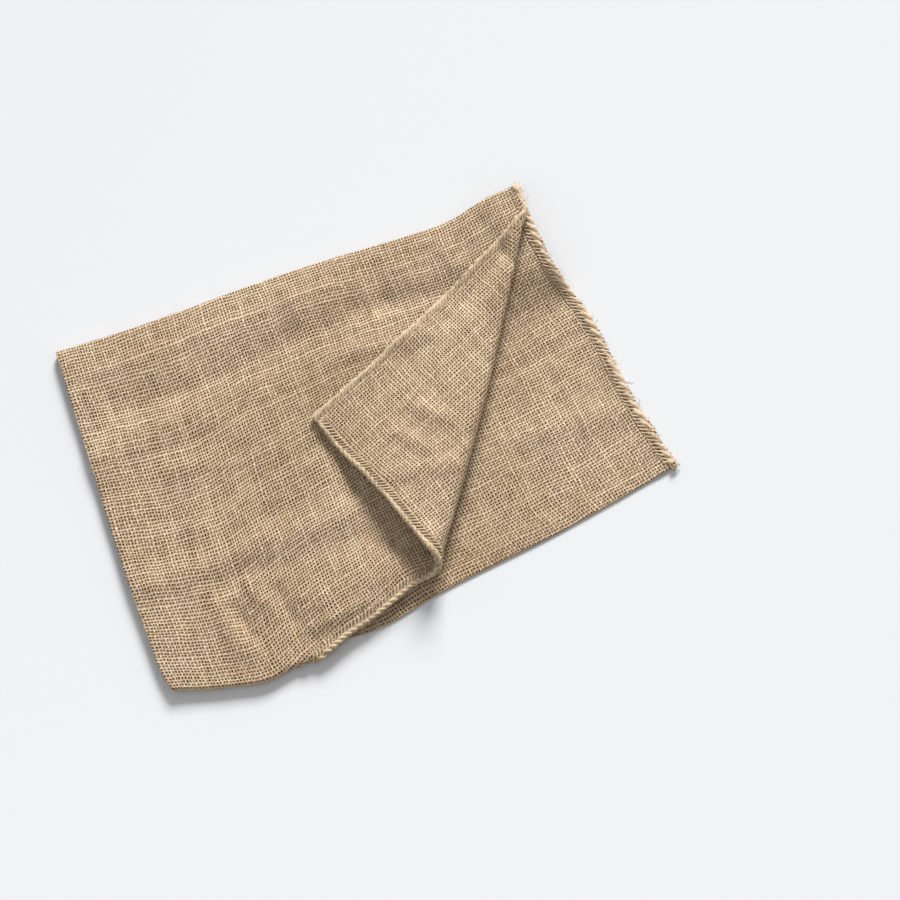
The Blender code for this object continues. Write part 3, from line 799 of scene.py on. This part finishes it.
def jute_yarn():
    """Twisted, hairy jute yarn: streaks that wind round it, pale straw to tan."""
    shade = Shade("jute_yarn")
    around, along = shade.map("Yarn")
    turn = around * 5.0 - along * 900.0
    streak = shade.noise(turn, along * 90.0, 3.0, 3.0)
    ply = shade.noise(turn * 0.4, along * 30.0, 8.0, 2.0)
    tone = (0.55 + 1.3 * streak + 0.8 * ply).maths("MAXIMUM", 0.0).maths("MINIMUM", 1.0)
    colour = shade.blend(tone, (0.44, 0.320, 0.200), (0.665, 0.520, 0.355))
    return shade.finish(colour, streak + ply, 0.0007)


def floor_with_painted_shade():
    """Plain pale paper, with painted shade that darkens it toward the back and right, where the light
    falls strongest.
    """
    shade = Shade("pale_floor")
    shade.surface.inputs["Roughness"].default_value = 0.85
    x, y = shade.split(shade.node("ShaderNodeTexCoord", {}, out=3))
    # Painted shade: the floor's colour grows darker toward the back and right.
    back = 0.39 * x + y
    share = (0.5 + 0.9 * back).maths("MAXIMUM", 0.0).maths("MINIMUM", 1.0)
    shade.put(shade.surface.inputs["Base Color"],
              shade.blend(share, (0.755, 0.753, 0.760), (0.560, 0.566, 0.574)))
    return shade.material


# ---------------------------------------------------------------- stage

CAMERA_PLACE = (-0.1253, -0.4866, 1.5056)
CAMERA_AIM = (0.0520, -0.0306, 0.0)
#         name    place                size  watts
LAMPS = (("key", (2.55, 4.60, 3.05), 2.0, 650.0),
         ("fill", (-1.2, -0.6, 2.2), 2.0, 6.0))
FLOOR_REACH = 12.0


def stand(name, data, place, aim):
    """Object for a camera or a lamp, turned to look at a point."""
    item = bpy.data.objects.new(name, data)
    item.location = place
    item.rotation_euler = (Vector(aim) - item.location).to_track_quat("-Z", "Y").to_euler()
    bpy.context.scene.collection.objects.link(item)
    return item


def camera_and_light():
    """Camera above the front of the sack, wide soft light from behind and to the right."""
    lens = bpy.data.cameras.new("camera")
    lens.lens = 85.0
    lens.sensor_width = 36.0
    bpy.context.scene.camera = stand("camera", lens, CAMERA_PLACE, CAMERA_AIM)
    for name, place, size, watts in LAMPS:
        lamp = bpy.data.lights.new(name, "AREA")
        lamp.size = size
        lamp.energy = watts
        stand(name, lamp, place, (0.0, 0.0, 0.0))
    world = bpy.data.worlds.new("studio")
    bpy.context.scene.world = world
    world.use_nodes = True
    back = world.node_tree.nodes["Background"]
    back.inputs["Color"].default_value = (0.97, 0.985, 1.0, 1)
    back.inputs["Strength"].default_value = 0.42
    bpy.context.scene.view_settings.view_transform = "Standard"


def make_floor():
    """Wide level sheet under the sack."""
    far = FLOOR_REACH
    mesh = bpy.data.meshes.new("floor")
    mesh.from_pydata([(-far, -far, 0), (far, -far, 0), (far, far, 0), (-far, far, 0)], [],
                     [(0, 1, 2, 3)])
    mesh.materials.append(floor_with_painted_shade())
    floor = bpy.data.objects.new("floor", mesh)
    bpy.context.scene.collection.objects.link(floor)


def build():
    camera_and_light()
    make_floor()
    yarn = jute_yarn()
    cloth = woven_cloth(hessian())
    seam = seam_stitches(yarn)
    mouth = mouth_stitches(yarn)
    frayed_end(yarn)
    loose_fibres(yarn)


build()
